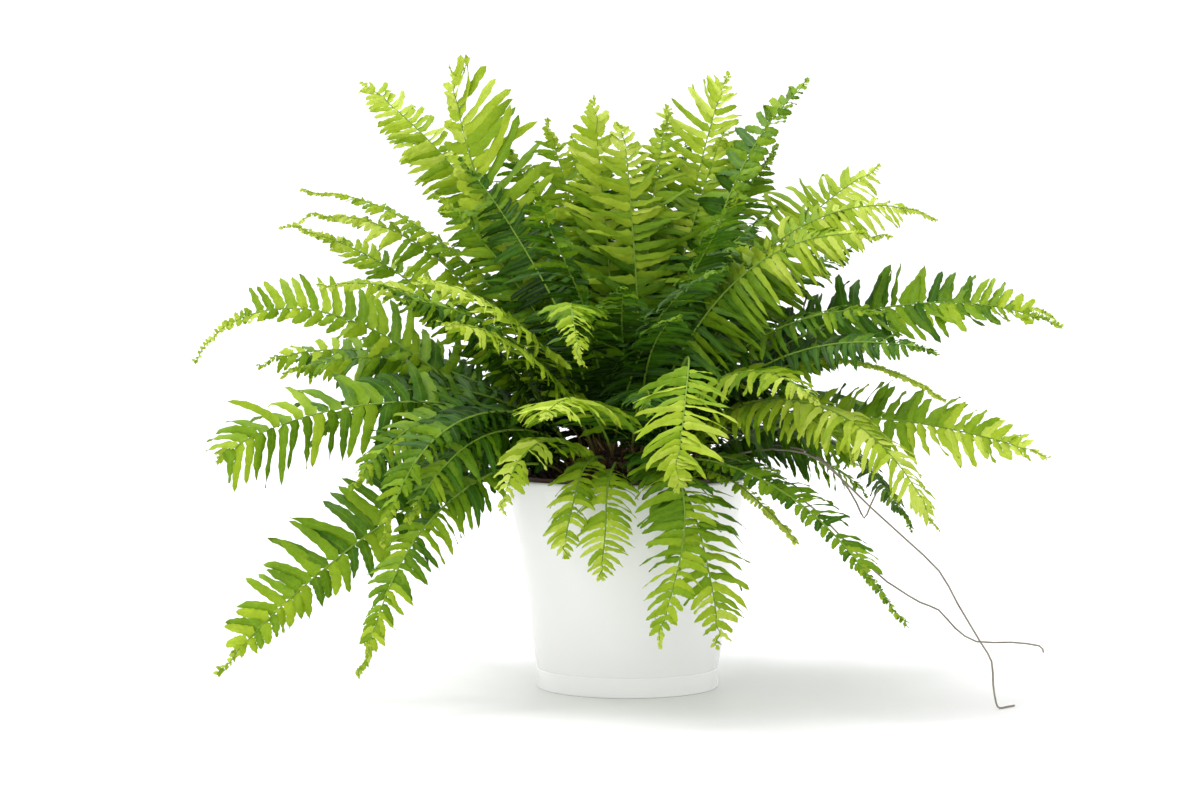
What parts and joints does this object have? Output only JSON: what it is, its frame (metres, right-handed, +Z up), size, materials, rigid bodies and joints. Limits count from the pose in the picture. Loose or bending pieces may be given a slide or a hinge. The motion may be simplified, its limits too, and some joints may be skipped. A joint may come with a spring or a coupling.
{
  "type": "potted fern",
  "caption": "Bushy sword fern with arching, drooping feathery fronds and thin trailing runners, growing from a brown crown in a plain white tapered planter.",
  "frame": {"origin": "middle of the planter's flat underside", "axes": "+Z up, -Y towards the front, +X to the right seen from the front"},
  "size_m": [0.5699, 0.5002, 0.4134],
  "materials": {
    "white_glaze": "gloss",
    "nursery_plastic": "satin",
    "potting_mix": "matte",
    "rhizome": "matte",
    "leaf": "satin",
    "wiry_stem": "matte"
  },
  "bodies": {
    "root": {"outer_pot": "white_glaze", "nursery_pot": "nursery_plastic", "soil": "potting_mix", "crown": "rhizome", "frond_01": "leaf", "frond_02": "leaf", "frond_03": "leaf", "frond_04": "leaf", "frond_05": "leaf", "frond_06": "leaf", "frond_07": "leaf", "frond_08": "leaf", "frond_09": "leaf", "frond_10": "leaf", "frond_11": "leaf", "frond_12": "leaf", "frond_13": "leaf", "frond_14": "leaf", "frond_15": "leaf", "frond_16": "leaf", "frond_17": "leaf", "frond_18": "leaf", "frond_19": "leaf", "frond_20": "leaf", "frond_21": "leaf", "frond_22": "leaf", "frond_23": "leaf", "frond_24": "leaf", "frond_25": "leaf", "frond_26": "leaf", "frond_27": "leaf", "frond_28": "leaf", "frond_29": "leaf", "frond_30": "leaf", "frond_31": "leaf", "frond_32": "leaf", "frond_33": "leaf", "frond_34": "leaf", "frond_35": "leaf", "frond_36": "leaf", "frond_37": "leaf", "frond_38": "leaf", "frond_39": "leaf", "frond_40": "leaf", "frond_41": "leaf", "frond_42": "leaf", "frond_43": "leaf", "frond_44": "leaf", "frond_45": "leaf", "frond_46": "leaf", "frond_47": "leaf", "frond_48": "leaf", "frond_49": "leaf", "frond_50": "leaf", "frond_51": "leaf", "frond_52": "leaf", "frond_53": "leaf", "runner_1": "wiry_stem", "runner_2": "wiry_stem", "runner_3": "wiry_stem"}
  },
  "joints": []
}
